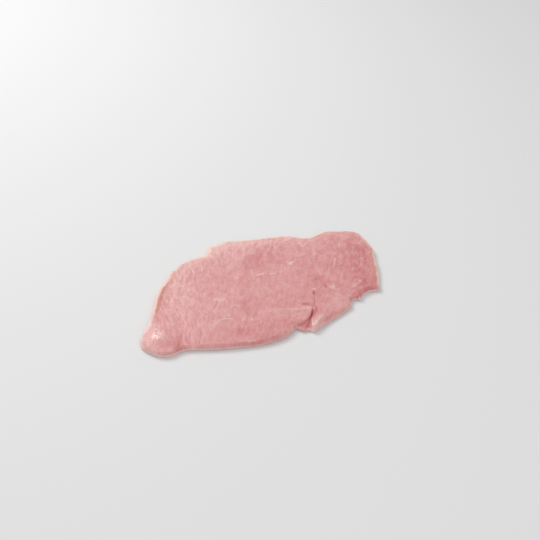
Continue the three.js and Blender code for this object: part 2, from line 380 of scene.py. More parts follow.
# Where the cut is coarse, with its bundles of fibres standing proud, over a smoother base.
COARSE_BASE = 0.5
COARSE = [
    ((-72, -5), (34, 52), 0, 0.5),
    ((-5, 50), (75, 15), 2, 0.5),
    ((78, 14), (26, 42), -8, 0.3),
    ((-64, -50), (12, 10), 0, -0.3),
    ((8, -40), (40, 10), 0, 0.2),
]


def coarse_share(points):
    return np.minimum(amount(points, COARSE_BASE, COARSE), 1)


def fibre_relief(points):
    """Bundles of fibres that stand a little proud of the cut, soft dimples, and the wet tip's grains."""
    cut = uneven(*grain(points), BUNDLES) + uneven(*points.T, DIMPLES)
    return coarse_share(points) * cut + uneven(*points.T, TIP_GRAINS) * swell(points, *TIP_SHINE)


def face_height(points):
    """The upper cut face, with no regard to its edges."""
    height = amount(points, THICKNESS, SWELLS) + fibre_relief(points)
    for half, line in SEAMS:
        height += trace(points, half, line)
    for length, heading, phase, rise in WAVES:
        turn = math.radians(heading)
        along = points[:, 0] * math.cos(turn) + points[:, 1] * math.sin(turn)
        height += rise * np.sin(2 * math.pi * along / length + phase)
    return height


def rounding(share):
    """A quarter of an ellipse: 0 at the edge, 1 from a share of 1 inwards."""
    left = 1 - np.clip(share, 0, 1)
    return np.sqrt(1 - left * left)


def top_height(points, edge, foot, floor, lip, on_ledge):
    """Height of the upper side, given each point's distances from the edge and from the foot of the tear."""
    face = face_height(points)
    shoulder = SHOULDER + uneven(*points.T, SHOULDER_SWAY) + swell(points, *TAPER)
    from_edge = RIM_HEIGHT + (face - RIM_HEIGHT) * rounding(edge / shoulder)
    from_foot = floor + (face - floor) * rounding((foot - SLIT_HALF) / lip)
    ledge_face = floor + uneven(*points.T, LEDGE_GRAINS)
    ledge = RIM_HEIGHT + (ledge_face - RIM_HEIGHT) * rounding(edge / HEEL)
    return np.where(on_ledge, ledge, np.minimum(from_edge, from_foot))


# ---------------------------------------------------------------- the mesh

def fitted_outline():
    """The edge as evenly spaced points, a little uneven as a knife leaves it, filling the node's box."""
    line = smooth_line(OUTLINE, EDGE_STEP, closed=True)
    run = np.arange(len(line)) * EDGE_STEP
    line = line + normals(line, True) * uneven(run, 0 * run, KNIFE_NICKS)[:, None]
    low, high = line.min(0), line.max(0)
    return (line - (low + high) / 2) * np.array([LENGTH, WIDTH]) / (high - low)


def finely(edge_line):
    """The edge, drawn finely enough to measure distances from."""
    return smooth_line(edge_line, EDGE_STEP / FINER, closed=True)


def fine_feet():
    """All the lines of the tear, finely drawn, with their floor heights and lips."""
    return np.vstack([smooth_line(line, FINE_STEP / FINER) for line in (LEDGE_FOOT, SLIT_FOOT, FLAP_FOOT)])


def ledge_plan():
    """The ledge seen from above, as a loop that closes outside the slice."""
    walls = smooth_line(LEDGE_FOOT, LEDGE_PLAN_STEP), smooth_line(FLAP_FOOT, LEDGE_PLAN_STEP)[1:]
    return np.vstack([*(wall[:, :2] for wall in walls), MOUTH])


def lattice(step, seed):
    """Points in staggered rows over the whole slice, each moved a little at random."""
    row = step * math.sqrt(3) / 2
    x = np.arange(-LENGTH / 2, LENGTH / 2, step)
    y = np.arange(-WIDTH / 2, WIDTH / 2, row)
    grid_x, grid_y = np.meshgrid(x, y)
    grid_x[1::2] += step / 2
    points = np.column_stack([grid_x.ravel(), grid_y.ravel()])
    return points + np.random.default_rng(seed).uniform(-LATTICE_SHAKE, LATTICE_SHAKE, points.shape) * step


def rings(line, closed, distances, sides, keep_from):
    """Points at set distances from a line, but none that comes too near the lines to keep from."""
    made = []
    for distance in distances:
        for side in sides:
            points = line + side * distance * normals(line, closed)
            made.append(points[nearest(points, keep_from)[0] > RING_KEEPS * distance])
    return np.vstack(made)


def chain(numbers):
    """Links from each number to the next."""
    return list(zip(numbers, numbers[1:]))


def triangulate(points, edges):
    """Corners, Delaunay triangles inside the loop of edges, and which given point each corner stands for."""
    keep_inside = 1
    made = geometry.delaunay_2d_cdt([Vector(p) for p in points], edges, [], keep_inside, SNAP)
    corners, _, faces, origins = made[:4]
    corners = np.array([tuple(corner) for corner in corners])
    return corners, [list(face) for face in faces], np.array([min(origin) for origin in origins])


def tear_lines(edge_line, fine_edge):
    """The lines of the tear as mesh corners: ledge and slit in one, and the flap's foot.

    They start a little inside the edge.
    """
    through = np.vstack([smooth_line(LEDGE_FOOT, FINE_STEP)[:-1], smooth_line(SLIT_FOOT, FINE_STEP)])
    lines = through[:, :2], smooth_line(FLAP_FOOT, FINE_STEP)[1:, :2]
    return [line[inside(line, edge_line) & (nearest(line, fine_edge)[0] > TEAR_FROM_EDGE)] for line in lines]


def upper_side(edge_line, fine_edge, through, flap):
    """The upper side: rings along the edge and the tear, and a lattice that is finer near the tear."""
    feet = fine_feet()[:, :2]
    hairline = smooth_line(HAIRLINE, HAIRLINE_STEP)[:, :2]

    def detailed(points):
        return (nearest(points, feet)[0] < FINE_REACH) | (nearest(points, hairline)[0] < HAIRLINE_REACH)

    def clear_of_edge(points):
        return nearest(points, fine_edge)[0] > SHOULDER_RINGS[-1] + CLEAR_OF_RINGS

    def clear_of_tear(points):
        return nearest(points, feet)[0] > TEAR_RINGS[-1] + FINE_STEP / 2

    edge_rings = rings(edge_line, True, SHOULDER_RINGS, (-1,), edge_line)
    tear_rings = np.vstack([rings(line, False, TEAR_RINGS, (-1, 1), feet) for line in (through, flap)])
    coarse, fine = lattice(FACE_STEP, FACE_SEED), lattice(FINE_STEP, FINE_SEED)
    spread = np.vstack([coarse[~detailed(coarse)], fine[detailed(fine)]])
    edge_rings = edge_rings[inside(edge_rings, edge_line) & clear_of_tear(edge_rings)]
    tear_rings = tear_rings[inside(tear_rings, edge_line) & clear_of_edge(tear_rings)]
    spread = spread[inside(spread, edge_line) & clear_of_edge(spread) & clear_of_tear(spread)]

    # The edge comes first, then the tear's lines, so that their corners are known by their numbers.
    first_through, first_flap = len(edge_line), len(edge_line) + len(through)
    end_of_flap = first_flap + len(flap)
    ledge_at_edge, flap_at_edge = nearest(np.array([through[0], flap[-1]]), edge_line)[1]
    fork = first_through + int(nearest(np.array([FORK[:2]]), through)[1][0])
    links = chain([*range(first_through), 0])
    links += chain([int(ledge_at_edge), *range(first_through, first_flap)])
    links += chain([fork, *range(first_flap, end_of_flap), int(flap_at_edge)])
    return triangulate(np.vstack([edge_line, through, flap, edge_rings, tear_rings, spread]), links)


def lower_side(edge_line, fine_edge):
    """The underside: a rounded heel and a flat."""
    heel_rings = rings(edge_line, True, HEEL_RINGS, (-1,), edge_line)
    spread = lattice(UNDERSIDE_STEP, UNDERSIDE_SEED)
    keep = inside(spread, edge_line) & (nearest(spread, fine_edge)[0] > HEEL + CLEAR_OF_RINGS)
    points = np.vstack([edge_line, heel_rings[inside(heel_rings, edge_line)], spread[keep]])
    return triangulate(points, chain([*range(len(edge_line)), 0]))


def joined_faces(above_faces, above_origins, below_faces, below_origins, edge_count):
    """The faces of both sides on shared corners of the edge, and the corners that only the underside has."""
    own = np.flatnonzero(below_origins >= edge_count)
    shared = {origin: i for i, origin in enumerate(above_origins) if origin < edge_count}
    renamed = {i: shared[origin] for i, origin in enumerate(below_origins) if origin < edge_count}
    renamed.update({i: len(above_origins) + k for k, i in enumerate(own)})
    return above_faces + [[renamed[k] for k in reversed(face)] for face in below_faces], own


def slice_mesh():
    """The whole slice as one closed mesh in metres, with what its finish needs stored at the corners."""
    edge_line = fitted_outline()
    fine_edge = finely(edge_line)
    edge_count = len(edge_line)
    through, flap = tear_lines(edge_line, fine_edge)
    above, above_faces, origins = upper_side(edge_line, fine_edge, through, flap)
    below, below_faces, below_origins = lower_side(edge_line, fine_edge)
    faces, own = joined_faces(above_faces, origins, below_faces, below_origins, edge_count)

    plan = np.vstack([above, below[own]])
    origins = np.concatenate([origins, below_origins[own]])
    is_top = np.arange(len(plan)) < len(above)
    on_foot = is_top & (origins >= edge_count) & (origins < edge_count + len(through) + len(flap))
    on_ledge = is_top & inside(plan, ledge_plan()) & ~on_foot

    feet = fine_feet()
    edge, at_edge = nearest(plan, fine_edge)
    foot, at_foot = nearest(plan, feet)
    floor, lip = feet[at_foot, 2:].T
    top = np.minimum(top_height(plan, edge, foot, floor, lip, on_ledge), HIGHEST)
    underside = RIM_HEIGHT * (1 - rounding(edge / HEEL))
    height = np.where(origins < edge_count, RIM_HEIGHT, np.where(is_top, top, underside))

    mesh = bpy.data.meshes.new("escalope_meat")
    mesh.from_pydata((np.column_stack([plan, height]) * MM).tolist(), [], faces)
    mesh.shade_smooth()

    skin = skin_share(fine_edge)[at_edge]
    skin_rim, rim_highlight = rim_shares(plan, edge, height, skin)
    finish = {
        "grain_mm": np.column_stack([*grain(plan), height]),
        "coarse": coarse_share(plan),
        # pink tone, with painted shade and light in places
        "pink_depth_and_shading": pink_depth_and_shading(plan, edge, height, skin),
        "tallow": tallow_share(plan, edge, skin),
        "skin_rim": skin_rim,
        # a painted highlight along the foot of the cut side and round the tip
        "rim_highlight": rim_highlight,
        # cream sinew, with painted highlights on the flap's crest, the fold and the tip
        "sinew": sinew_and_highlight_share(plan) * is_top,
        # painted shade in the tear and its creases
        "tear_shade": tear_shade_share(plan, edge, foot, on_ledge) * is_top,
        "wet": wet_share(plan) * is_top,
    }
    for name, values in finish.items():
        store(mesh, name, values)
    return mesh


def store(mesh, name, values):
    """Keeps one value or vector for each corner of the mesh, for the material to read."""
    kind, field = ("FLOAT_VECTOR", "vector") if values.ndim == 2 else ("FLOAT", "value")
    layer = mesh.attributes.new(name, kind, "POINT")
    layer.data.foreach_set(field, values.astype(np.float32).ravel())


# ---------------------------------------------------------------- where the finish changes

# Where the pink is deeper or paler than the rest, mostly by the meat's own tone, with painted shade and
# painted highlights where marked: centre, reach, turn, amount.
PINK_BASE = 0.55
TONE_AND_LIGHT_SHIFTS = [
    ((-72, -5), (32, 46), 0, -0.16),
    ((-92, -42), (11, 13), -20, -0.16),
    ((-50, 32), (26, 14), 30, -0.05),
    ((-1, 28), (21, 12), 12, 0.15),
    ((-16, 44), (18, 7), 0, -0.12),
    ((5, -50), (46, 10), 2, 0.22),
    ((8, 52), (36, 8), 0, -0.17),
    ((30, -20), (24, 14), 0, 0.1),
    ((48, 8), (14, 14), 0, 0.1),
    ((82, 8), (17, 32), -8, 0.32),
    ((47, -8), (10, 9), 0, 0.12),
    # paler: a painted highlight on the flap's crest
    ((35, -46), (7, 3.4), 50, -0.3),  # the flap's crest
    # paler: painted light on the flap's thin side
    ((54, -30), (12, 6), 38, -0.18),
    ((-20, -47), (14, 3), -8, 0.1),
    # deeper: painted shade where the corner droops
    ((82, -12), (12, 6), 10, 0.2),
    ((83.8, -17.3), (5, 2.8), 0, 0.15),
    ((68.8, -13.4), (4.5, 3), 0, -0.18),
    ((71.5, -12.2), (2.6, 2.4), 0, -0.35),
    ((68.3, -17.4), (2, 2), 0, -0.25),
    ((57.5, -16.5), (4, 3), 0, -0.18),
    ((71.3, -22), (5.5, 4), 0, 0.25),
    ((81, -1.5), (4, 4), 0, -0.13),
    ((88.5, 27), (6, 13), 10, 0.32),
    ((85.6, 20), (5, 5), 0, -0.12),
    # deeper: painted shade on the slit's outer lip and in the hollow above it
    ((32.8, -38.2), (2.4, 5.5), -26, 0.65),  # the slit's outer lip, and the hollow above it
    ((38, -33), (3, 3), 0, 0.35),
    ((68.2, -2.8), (3.5, 3.5), 0, 0.13),
    ((26, -14), (5, 5), 0, -0.11),
    ((19, 5), (7, 6), 0, 0.1),
    ((39.4, 12.6), (4, 4), 0, 0.13),
    ((61.6, 22.9), (4, 4), 0, 0.13),
    ((90.7, 40.5), (3, 5), 20, 0.13),
    ((5.6, -50), (7, 4), 0, -0.12),
    ((-3, -11.5), (5, 5), 0, 0.11),
    ((6.3, 21.6), (5, 5), 0, -0.12),
    ((-20, 31), (6, 11), 0, -0.33),
    ((-7, 39.5), (5, 8), 0, -0.2),
    ((-55, 7), (5, 5), 0, 0.1),
    ((-75, -50.5), (3.5, 4), 0, 0.13),
    ((-66, -53), (4, 5), 0, 0.1),
    ((-42.5, 39), (6, 5), 0, 0.22),
    ((-15.5, -23.5), (8, 8), 40, 0.2),
    ((-35, -17.6), (4, 4), 0, -0.14),
    ((-20, -5), (8, 5), 0, -0.13),
    ((-48.6, 19), (8, 8), 0, 0.13),
    ((-60.6, -11), (6, 6), 0, -0.18),
    ((-61.4, -42), (5, 7), 0, 0.1),
    ((-46, -11.4), (4, 4), 0, 0.11),
    ((-24, -12.6), (4, 4), 0, -0.11),
    ((-82, -30), (5, 5), 0, 0.15),
    ((-94, -47), (5, 4), 0, 0.13),
    ((-92.5, -33), (4, 8), -20, -0.25),  # just inside the tip's rim
    # deeper: painted shade in the valley behind the tip
    ((-71, -53), (6, 9), -15, 0.27),
    ((-62, -51), (3, 7), 0, 0.12),
    ((-87, -51), (7, 5), 0, 0.15),
    ((-79, -3), (22, 4.5), 74, 0.32),  # just inside the skin of the thin end
    ((-62, 33), (16, 5), 38, 0.15),
]
PINK_MOTTLE = [(0.06, (15, 12), 61), (0.07, (6, 5), 62)]
PALER_BY_SKIN = (None, (-25, 25), 0.4)  # bounds along x and y, amount
PALER_BAND = (16, 3)  # how far in from the edge that starts and is full
# The knife's side, below the shoulder: how far in from the edge it reaches, how softly it ends there and how
# ragged, and the heights that it starts between.
SIDE_REACH = 2.4
SIDE_SOFTNESS = 0.9
SIDE_RAGGED = [(0.5, 9, 65), (0.4, 2.5, 67)]
SIDE_HEIGHT = (1.2, 2.0)
# How much painted shade (deeper pink) and painted light (paler pink) it gets, against the cut face's, at
# places along x.
SIDE_SHADING = [
    (-90, -0.3), (-80, -0.2), (-72, 0), (-61, -0.25), (-50, 0), (-40, 0), (-28, 0.1), (-17, 0.36),
    (-6, 0.05), (6, -0.1), (16, -0.3), (32, -0.35), (44, -0.1), (54, 0), (62, -0.1), (90, -0.2),
]
SIDE_MOTTLE = [(0.2, 5, 64)]
# Scraps of fat and sinew in the cut, and painted highlights on crests and flecks: half width, then a line
# whose corners give the strength.
SINEW_AND_HIGHLIGHTS = [
    (0.75, [(23.4, 25.6, 0.3), (24.6, 22.4, 0.9), (27.6, 23.4, 1.1), (30.6, 25.6, 0.6), (32.4, 27, 0.1)]),
    (0.75, [(25.0, 20.4, 0.5), (27.2, 21.4, 0.8), (28.5, 20.6, 0.1)]),
    (0.8, [(-6.8, 20, 0.3), (-6.6, 16.5, 0.4), (-5.4, 14.4, 0.1)]),
    (0.8, [(-6.6, 13.4, 0.1), (-3.5, 12.2, 0.6), (1.4, 13.2, 1.1), (3.8, 15.4, 0.3)]),
    (1.0, [(8, 12, 0.9), (10.6, 12.4, 1.0), (12.8, 14.6, 0.4)]),
    (0.6, [(38.2, 50.2, 0.2), (38.3, 46.2, 0.8), (40.2, 42.6, 0.6), (42, 41, 0.1)]),
    (0.65, [(-37.4, -33, 0.3), (-33.6, -32.7, 0.7), (-28.7, -33, 0.9)]),
    (0.6, [(-20.7, -35.8, 0.9), (-19.9, -33.2, 0.5)]),
    (0.6, [(-14.4, -36.8, 0.9), (-13.5, -34.2, 0.5)]),
    (1.0, [(38.2, -11, 0.7), (40.4, -11.4, 0.5), (40.8, -13.6, 0.1)]),
    (1.4, [(54.6, -7, 0.1), (54.8, -12, 0.6), (56, -14, 0.2)]),
    (0.6, [(54.4, -10.8, 1.0), (55.6, -10.9, 0.7)]),
    (0.6, [(59.0, 10.5, 0.1), (61, 15.5, 0.5), (63.6, 22, 0.6), (65.4, 25, 0.1)]),
    (0.6, [(72.8, 39.6, 0.6), (74.8, 43, 0.4)]),
    (0.7, [(86.4, 37, 0.3), (90, 40.6, 0.7), (92, 42, 0.2)]),
    (0.5, [(82.4, 12.4, 0.1), (84.6, 17.6, 0.5), (87.2, 20, 0.1)]),
    (0.6, [(76.6, -6.6, 0.9), (77.4, -6.4, 0.5)]),
    (1.0, [(66, -24, 0.1), (70, -22, 0.2), (76, -19, 0.15)]),
    (1.0, [(72.8, -24.8, 0.9), (73.1, -23.9, 0.3)]),
    (0.9, [(34.8, -29.8, 0.5), (34.6, -32, 0.6), (33.6, -34.4, 0.1)]),  # the knot at the tear's head
    (0.8, [(31.4, -42.6, 0.1), (31, -46, 0.6), (30.4, -49, 0.8)]),
    # the flap's crest, and the fold towards the tear: painted highlights along their ridges
    (1.5, [(30.4, -51.4, 0.7), (32.4, -49, 0.9), (33.8, -45.8, 1.0), (36.6, -42.6, 0.6), (41, -40.2, 0.1)]),
    (1.7, [(-2, -29, 0.0), (3, -29.4, 0.35), (12, -30.4, 0.3), (23.7, -31.5, 0.4), (32.6, -31.8, 0.5)]),
    # the ridge behind the tip, and painted highlights where the tip shines
    (1.0, [(-50, -53, 0.1), (-43, -39, 0.4), (-36, -32.6, 0.4)]),
    (0.9, [(-88.2, -43.2, 0.5), (-86.9, -43.7, 0.6)]),
    (0.7, [(-84.8, -45.4, 0.3), (-83.9, -45.9, 0.5)]),
    (0.6, [(-87, -37.6, 0.4), (-86.2, -36.2, 0.4)]),
    # fringe that runs in from the skin
    (0.7, [(-54.6, 33.4, 0.2), (-54.1, 27.6, 0.8), (-52.9, 23.2, 1.0)]),
    (0.5, [(-59.6, 34.5, 0.3), (-60.6, 25, 0.5), (-61.3, 15.3, 0.6)]),
    (0.5, [(-46.5, 33.7, 0.5), (-46.1, 23.7, 0.6)]),
    (0.5, [(-25.1, 48.2, 0.3), (-27.1, 38.2, 0.6)]),
    (0.5, [(-29.3, 36, 0.6), (-30.1, 29.8, 0.9)]),
    (0.7, [(-9, 45.7, 0.6), (-9.8, 38, 0.5)]),
    (0.6, [(71.7, 40.8, 0.6), (69.3, 35.9, 0.5)]),
    (1.0, [(84.2, 38.8, 0.5), (86.9, 39.1, 0.4)]),
    (0.7, [(47.8, 36.7, 0.4), (46.9, 29, 0.5)]),
    (1.2, [(46.5, 12.7, 0.3), (47.8, 5.2, 0.4)]),
    (0.6, [(83.9, 14.3, 0.6), (80.2, 7.4, 0.5)]),
    # specks
    (1.0, [(-66.4, 11.5, 0.6), (-65, 8.9, 0.7)]),
    (0.8, [(-19.5, 12.3, 0.7), (-19, 11.3, 0.7)]),
    (0.8, [(-47.4, -2.6, 0.5), (-46.6, -3.4, 0.5)]),
    (1.0, [(-38.8, -10.2, 0.6), (-32.7, -11.7, 0.5)]),
    (0.7, [(-27.3, -18.7, 0.5), (-19.7, -19.9, 0.5)]),
    (0.5, [(-34.5, -28.5, 0.4), (-30, -29.2, 0.4)]),
    (0.6, [(-20.1, -57.4, 0.4), (-14.3, -58, 0.5)]),
    # a painted glint
    (0.8, [(77.7, -7.3, 1.0), (77.1, -7.7, 0.9)]),
    (0.9, [(77, -8.7, 0.4), (74.8, -9.6, 0.4)]),
]
SINEW_WHOLE = 0.75  # how strong they are throughout, before they break up
SINEW_BREAKS = [(0.45, 1.1, 63)]
# Short strands left lying along the fibres, but for one stretch where they lie along the slice.
STRAND_COUNT = 900
STRAND_SEED = 71
STRAND_LENGTH = (2, 8)
STRAND_HALF = (0.35, 0.75)
STRAND_TURN = 0.25  # spread, in radians
STRAND_BEND = 0.25  # spread, in mm
STRAND_STRENGTH = 0.55
STRAND_FAINTEST = 0.1
STRAND_LEANING = 1.6  # above 1, more of them are faint than strong
LYING = ((-2, -32), (36, 20), 0, 1.0)
LYING_TURN = 75  # degrees
# Fat that tints the meat just inside the skin.
TALLOW_TINGE = 0.1
TALLOW_BAND = (6.5, 2.5)
TALLOW = [
    (1.7, [(-89.5, -32, 0.2), (-85.2, -18, 0.6), (-81.8, -5, 0.95), (-78.5, 5.5, 0.8), (-73.5, 13.5, 0.5)]),
    (2.2, [(-73.5, 13.5, 0.4), (-70.5, 19, 0.3), (-67.5, 26, 0.15)]),
    (1.0, [(-86.4, -28, 0.5), (-85.8, -26, 0.5)]),
    (1.8, [
        (84, 52, 0.1), (89.4, 42, 0.5), (93.4, 27, 0.4), (92.6, 10, 0.2), (90.4, -2.5, 0.4), (88.2, -12, 0.4),
    ]),
    (1.6, [(57, -34.3, 0.2), (46, -40.7, 0.5), (38, -45.6, 0.1)]),
]
# Shade is painted dark into the tear: how dark at the foot of its walls, more in the slit, and on the ledge.
TEAR_SHADE_AT_FOOT, TEAR_SHADE_IN_SLIT, TEAR_SHADE_ON_LEDGE = 0.05, 0.8, 0.5
TEAR_SHADE_BAND = (SLIT_HALF + 0.9, SLIT_HALF)  # from the foot of a wall
LEDGE_BAND = (0.5, 1.5)  # in from the edge
SLIT_NEAR, SLIT_FAR = (-44, -40), (-31, -34.5)  # the slit's two ends along y
MOUTH_BAND = (-54, -49)
# Shade is painted dark into creases, pits and nicks too.
CREASE_SHADE = [
    (1.5, scaled(CREASE, 0.6)),
    (0.5, scaled(HAIRLINE, 0.55)),
    (0.9, scaled(END_CREASE, 0.3)),
    (1.1, scaled(END_SEAM, 0.3)),
    (1.2, [(36.4, -29.5, 0.45), (36.2, -32.6, 0.5), (35.9, -35.5, 0.2)]),
    (1.0, [(38.3, -13.6, 0.7), (38.4, -15.8, 1.0)]),
    (1.0, [(16.8, -47.8, 0.2), (19.2, -46.6, 0.4), (22, -45.4, 0.1)]),  # the ledge's far end
    (0.7, [(6, -26.4, 0.0), (17, -27.6, 0.2), (23, -26.9, 0.2)]),
    # behind the tip
    (2.0, [(-71, -56, 0.12), (-69.5, -53, 0.15), (-69.5, -47, 0.05)]),
    (0.7, [(-64.7, -47.1, 0.15), (-63.6, -51.3, 0.2)]),
    (0.45, [(-64.7, -20.4, 0.0), (-65.1, -33.7, 0.25), (-66.7, -44, 0.15)]),
    (0.6, [(-67.6, -32.3, 0.35), (-67.3, -33.5, 0.3)]),
    (0.45, [(-53.7, -46.9, 0.1), (-54.7, -53.8, 0.3)]),
    # the end muscle's upper edge, and the nicks between the lumps on its ragged side
    (0.6, [(43.2, 20.7, 0.25), (42.7, 8.4, 0.2)]),
    (0.7, [(67.4, -18, 0.2), (69.5, -15.2, 0.3), (72.5, -13.9, 0.1), (76, -12, 0.25), (79, -12.8, 0.1)]),
    (0.8, [(80, -5, 0.3), (81.6, -9, 0.5), (82, -13, 0.3)]),
    (0.7, [(75.4, -18.5, 0.3), (76, -15, 0.3)]),
    (2.6, [(68.5, -24.4, 0.1), (71.5, -22.8, 0.55), (76, -18.6, 0.4), (84, -16.2, 0.45), (88, -16.4, 0.2)]),
    (0.7, [(-22.6, 8.2, 0.3), (-22.2, 7.2, 0.3)]),
]
# Where it shines: centre, reach, turn, how wet.
TIP_SHINE = ((-85.5, -41.5), (7, 9), -20, 0.6)
WET = [
    TIP_SHINE,
    ((-87.4, -43.4), (1.9, 1.6), 0, 0.5),
    ((-84.3, -45.6), (1.5, 1.4), 0, 0.4),
    ((-86.6, -37), (1.8, 2.4), 20, 0.3),
    ((33.5, -46.5), (7, 3), 55, 1.0),  # the flap's crest
]
# How thick the skin is, as a share: a base, round places, and stretches with their bounds along x and y.
SKIN_BASE = 0.5
SKIN_SWELLS = [
    ((-25, 0), (20, math.inf), 0, 0.2),
    ((-92.5, -30), (9, 9), 0, 0.4),
]
SKIN_STRETCHES = [
    ((70, 30), None, 0.2),
    ((5, -25), None, 0.35),
    ((82, 95), None, 0.15),
    ((0, -40), (18, -5), -0.2),
]
# How far in from the edge a skin of thickness 1 starts and is full, and the faint veil of it further in.
SKIN_BAND, SKIN_STRENGTH = (3.9, 1.9), 0.9
VEIL_BAND, VEIL_STRENGTH = (9, 2), 0.12
SKIN_RAGGED = [(0.3, 5, 66)]
FAR_SIDE_REACH = (None, (28, 45), 0.9)  # mm further in
TIP_NARROWER = ((-60, -80), (-38, -48), 0.5)
TIP_FAINTER = ((-60, -80), (-38, -48), 0.2)
ROUND_TIP = ((-60, -80), (-14, -30), 1.0)
# How strong the painted highlight in pinkish white is on the foot of the cut side, given in the same way, and
# up to what height.
FOOT_HIGHLIGHT_BASE = 0.4
FOOT_HIGHLIGHT_SWELLS = [
    ((29, -51.6), (2.8, 2.8), 0, 0.6),  # the flap's corner
    ((21.4, -51), (3, 3), 0, -0.3),
]
FOOT_HIGHLIGHT_STRETCHES = [
    ((0, -40), None, 0.25),
    ((-62, -76), None, 0.25),
    ((62, 70), None, 0.45),
]
FOOT_HIGHLIGHT_BAND = (2.9, 1.9)


def skin_share(fine_edge):
    """1 where the edge carries skin and 0 where the knife cut it, at each point of the edge."""
    start, end = nearest(np.array([SKIN_FROM, SKIN_TO]), fine_edge)[1]
    past_start = (np.arange(len(fine_edge)) - start) % len(fine_edge)
    length = (end - start) % len(fine_edge)
    points_to_full = SKIN_FADE / (EDGE_STEP / FINER)
    return np.clip(np.minimum(past_start, length - past_start) / points_to_full, 0, 1)


def skin_thickness(points):
    """1 over the step and less to either side of it."""
    return amount(points, SKIN_BASE, SKIN_SWELLS, SKIN_STRETCHES)


def rim_shares(points, edge, height, skin):
    """Cream, for the skin as it wraps over the edge, and a painted highlight in pinkish white, for the thin
    foot of the cut side.

    Round the tip the skin thins away to the same painted highlight.
    """
    thickness = skin_thickness(points)
    reach = edge * (1 + uneven(*points.T, SKIN_RAGGED)) * (1 + stretch(points, *TIP_NARROWER))
    reach -= stretch(points, *FAR_SIDE_REACH)
    veil = VEIL_STRENGTH * thickness * fade(edge, *VEIL_BAND)
    wrapped = skin * (SKIN_STRENGTH * fade(reach / thickness, *SKIN_BAND) + veil)
    wrapped *= 1 - stretch(points, *TIP_FAINTER)
    foot = amount(points, FOOT_HIGHLIGHT_BASE, FOOT_HIGHLIGHT_SWELLS, FOOT_HIGHLIGHT_STRETCHES) * (1 - skin) * fade(height, *FOOT_HIGHLIGHT_BAND)
    round_tip = stretch(points, *ROUND_TIP)
    return wrapped * (1 - round_tip), np.clip(foot + wrapped * round_tip, 0, 1)


def tallow_share(points, edge, skin):
    return marked(points, TALLOW_TINGE * skin * fade(edge, *TALLOW_BAND), TALLOW)


def tear_shade_share(points, edge, foot, on_ledge):
    """1 in the depth of the tear and its creases, where shade is painted dark."""
    y = points[:, 1]
    in_slit = TEAR_SHADE_IN_SLIT * fade(y, *SLIT_NEAR) * fade(y, *SLIT_FAR)
    at_foot = (TEAR_SHADE_AT_FOOT + in_slit) * fade(foot, *TEAR_SHADE_BAND)
    share = np.where(on_ledge, TEAR_SHADE_ON_LEDGE * fade(edge, *LEDGE_BAND), at_foot)
    return marked(points, share * fade(y, *MOUTH_BAND), CREASE_SHADE)


def pink_depth_and_shading(points, edge, height, skin):
    """0 where the pink is palest and 1 where it is deepest, with painted shade and light in places."""
    x, y = points.T
    depth = amount(points, PINK_BASE, TONE_AND_LIGHT_SHIFTS) + uneven(x, y, PINK_MOTTLE)
    depth -= skin * skin_thickness(points) * fade(edge, *PALER_BAND) * stretch(points, *PALER_BY_SKIN)
    # The knife's side, with its painted shade and light, begins at a ragged line along the shoulder.
    reach = SIDE_REACH + uneven(x, y, SIDE_RAGGED)
    side = (1 - skin) * fade(edge, reach, reach - SIDE_SOFTNESS) * fade(height, *SIDE_HEIGHT)
    deeper = np.interp(x, *zip(*SIDE_SHADING)) + uneven(x, y, SIDE_MOTTLE)
    return np.clip(depth + side * deeper, 0, 1)


def sinew_and_highlight_share(points):
    """Cream: the scraps of fat and sinew that show, painted highlights, and short strands strewn along the
    fibres.
    """
    scraps = marked(points, np.zeros(len(points)), SINEW_AND_HIGHLIGHTS)
    scraps *= SINEW_WHOLE + uneven(*points.T, SINEW_BREAKS)
    return np.clip(marked(points, scraps, strands()), 0, 1)


def strands():
    """The short strands as marks."""
    draw = np.random.default_rng(STRAND_SEED)
    corner = np.array([LENGTH, WIDTH]) / 2
    for _ in range(STRAND_COUNT):
        middle = draw.uniform(-corner, corner)
        x, y = middle - GRAIN_FOCUS
        way = math.atan2(y, x) + draw.normal(0, STRAND_TURN)
        way -= math.radians(LYING_TURN) * swell(middle[None], *LYING)[0]
        half_length, bend = draw.uniform(*STRAND_LENGTH) / 2, draw.normal(0, STRAND_BEND)
        ahead = np.array([math.cos(way), math.sin(way)])
        aside = np.array([-ahead[1], ahead[0]]) * bend
        strength = STRAND_STRENGTH * draw.uniform(STRAND_FAINTEST, 1) ** STRAND_LEANING
        strength *= coarse_share(middle[None])[0]
        ends = middle - half_length * ahead, middle + half_length * ahead
        line = [(*ends[0], 0.0), (*(middle + aside), strength), (*ends[1], 0.0)]
        yield draw.uniform(*STRAND_HALF), line


def wet_share(points):
    return np.clip(amount(points, 0, WET), 0, 1)


# ---------------------------------------------------------------- materials

def colour(hex_code, alpha=1.0):
    """An sRGB hex code as the linear colour that a shader takes."""
    channels = [int(hex_code[i:i + 2], 16) / 255 for i in (1, 3, 5)]
    linear = [c / 12.92 if c <= 0.04045 else ((c + 0.055) / 1.055) ** 2.4 for c in channels]
    return (*linear, alpha)


def add_node(tree, kind, settings=None, **links):
    """Adds a node. Settings name its properties, and links its sockets.

    A socket is set to a value or joined to an output. One that shares its name is given by number, as in _6.
    """
    node = tree.nodes.new(kind)
    for name, value in (settings or {}).items():
        setattr(node, name, value)
    for name, value in links.items():
        key = int(name[1:]) if name[0] == "_" and name[1:].isdigit() else name.replace("_", " ")
        socket = node.inputs[key]
        if isinstance(value, bpy.types.NodeSocket):
            tree.links.new(value, socket)
        else:
            socket.default_value = value
    return node


def empty_material(name):
    material = bpy.data.materials.new(name)
    material.use_nodes = True
    material.node_tree.nodes.clear()
    return material, material.node_tree


VEAL_PALE = "#f5c3bf"
